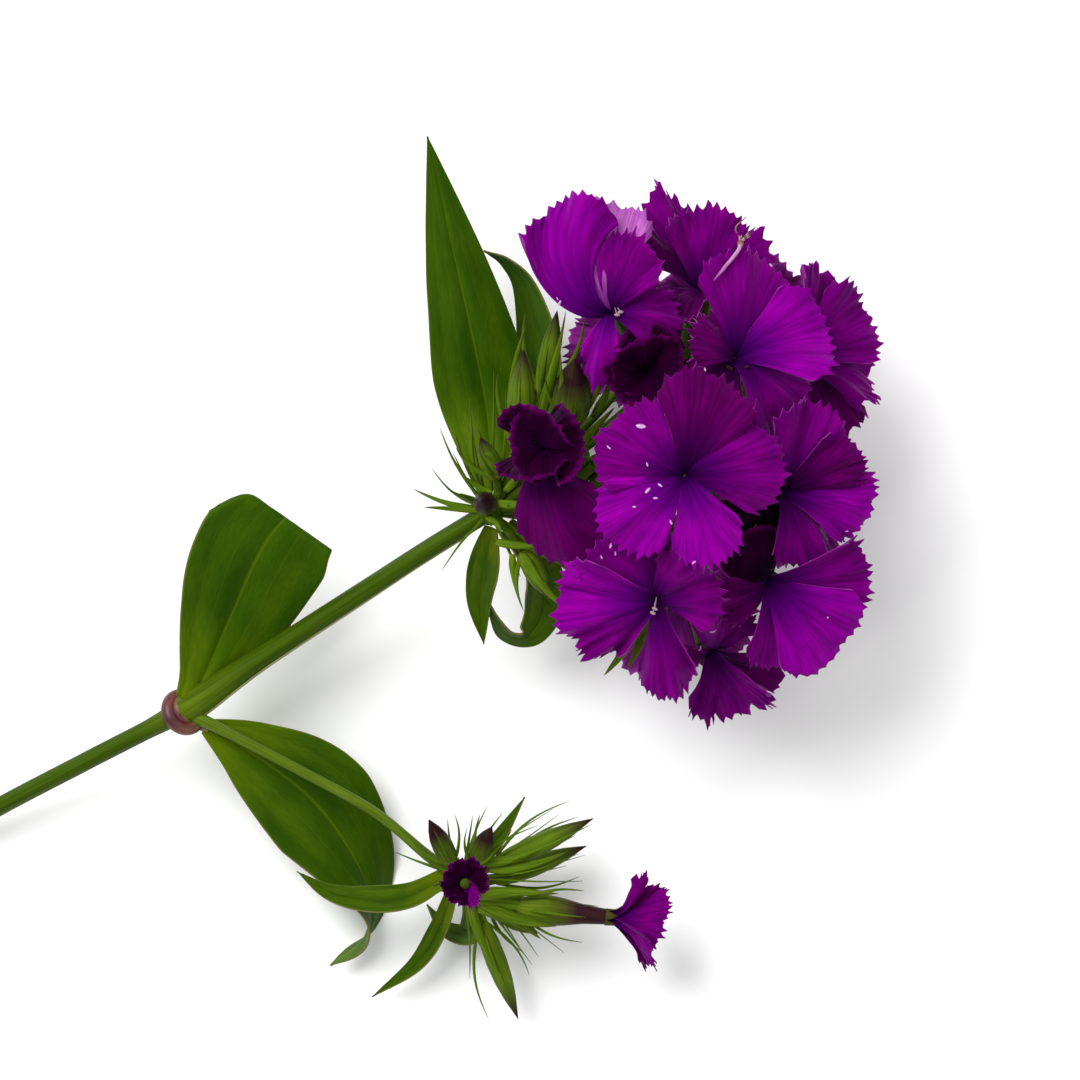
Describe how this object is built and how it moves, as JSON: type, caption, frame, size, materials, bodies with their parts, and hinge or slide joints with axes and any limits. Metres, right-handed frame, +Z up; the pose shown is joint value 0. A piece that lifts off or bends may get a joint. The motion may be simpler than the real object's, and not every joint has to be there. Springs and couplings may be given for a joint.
{
  "type": "cut sweet william carnation",
  "caption": "Cut stem of a cluster-flowered carnation (sweet william) with a round head of toothed purple flowers, stem leaves and a side shoot, lying on its side.",
  "frame": {"origin": "under the middle of the plant's box, on the surface that it lies on", "axes": "+X along the surface from the cut end towards the flower head, +Y along the surface towards the long head leaf's tip, +Z up"},
  "size_m": [0.1526, 0.1332, 0.0555],
  "materials": {
    "stem": "smooth green stalk with a satin skin",
    "collar": "mauve and brown swollen joint, satin",
    "leaf": "green leaf with paler veins, satin",
    "calyx": "yellow-green ribbed calyx, satin",
    "bud": "yellow-green ribbed bud with a dark purple tip",
    "petal": "velvety purple petal with a toothed margin",
    "petal_dark": "velvety dark maroon-purple petal, rolled or half open"
  },
  "bodies": {
    "root": {"main_stem": "stem", "joint_collar": "collar", "side_branch": "stem", "leaf_folded": "leaf", "leaf_curled": "leaf", "head_leaf_long": "leaf", "head_leaf_behind": "leaf", "head_leaf_hanging": "leaf", "head_leaf_strap": "leaf", "side_leaf_broad": "leaf", "side_leaf_narrow": "leaf", "side_leaf_under": "leaf", "side_leaf_upright": "leaf", "flower_01_calyx": "calyx", "flower_02_calyx": "calyx", "flower_03_calyx": "calyx", "flower_04_calyx": "calyx", "flower_05_calyx": "calyx", "flower_06_calyx": "calyx", "flower_07_calyx": "calyx", "flower_08_calyx": "calyx", "flower_09_calyx": "calyx", "flower_10_calyx": "calyx", "flower_11_calyx": "calyx", "flower_12_calyx": "calyx", "flower_13_calyx": "calyx", "flower_14_calyx": "calyx", "flower_15_calyx": "calyx", "side_flower_rolled_calyx": "calyx", "side_flower_open_calyx": "calyx", "flower_01_petals": "petal", "flower_02_petals": "petal", "flower_03_petals": "petal", "flower_04_petals": "petal", "flower_05_petals": "petal", "flower_06_petals": "petal", "flower_07_petals": "petal", "flower_08_petals": "petal", "flower_09_petals": "petal", "flower_10_petals": "petal_dark", "flower_11_petals": "petal_dark", "flower_12_petals": "petal", "flower_13_petals": "petal", "flower_14_petals": "petal", "flower_15_petals": "petal", "side_flower_rolled_petals": "petal_dark", "side_flower_open_petals": "petal", "head_bud_tall": "bud", "head_bud_dark": "bud", "head_bud_behind": "bud", "head_bud_slim": "bud", "head_bud_facing": "bud", "head_bud_low": "bud", "side_bud_dark": "bud", "side_bud_upright": "bud", "side_bud_long": "bud", "side_bud_under": "bud", "side_bud_short": "bud", "side_bud_low": "bud"}
  },
  "joints": []
}
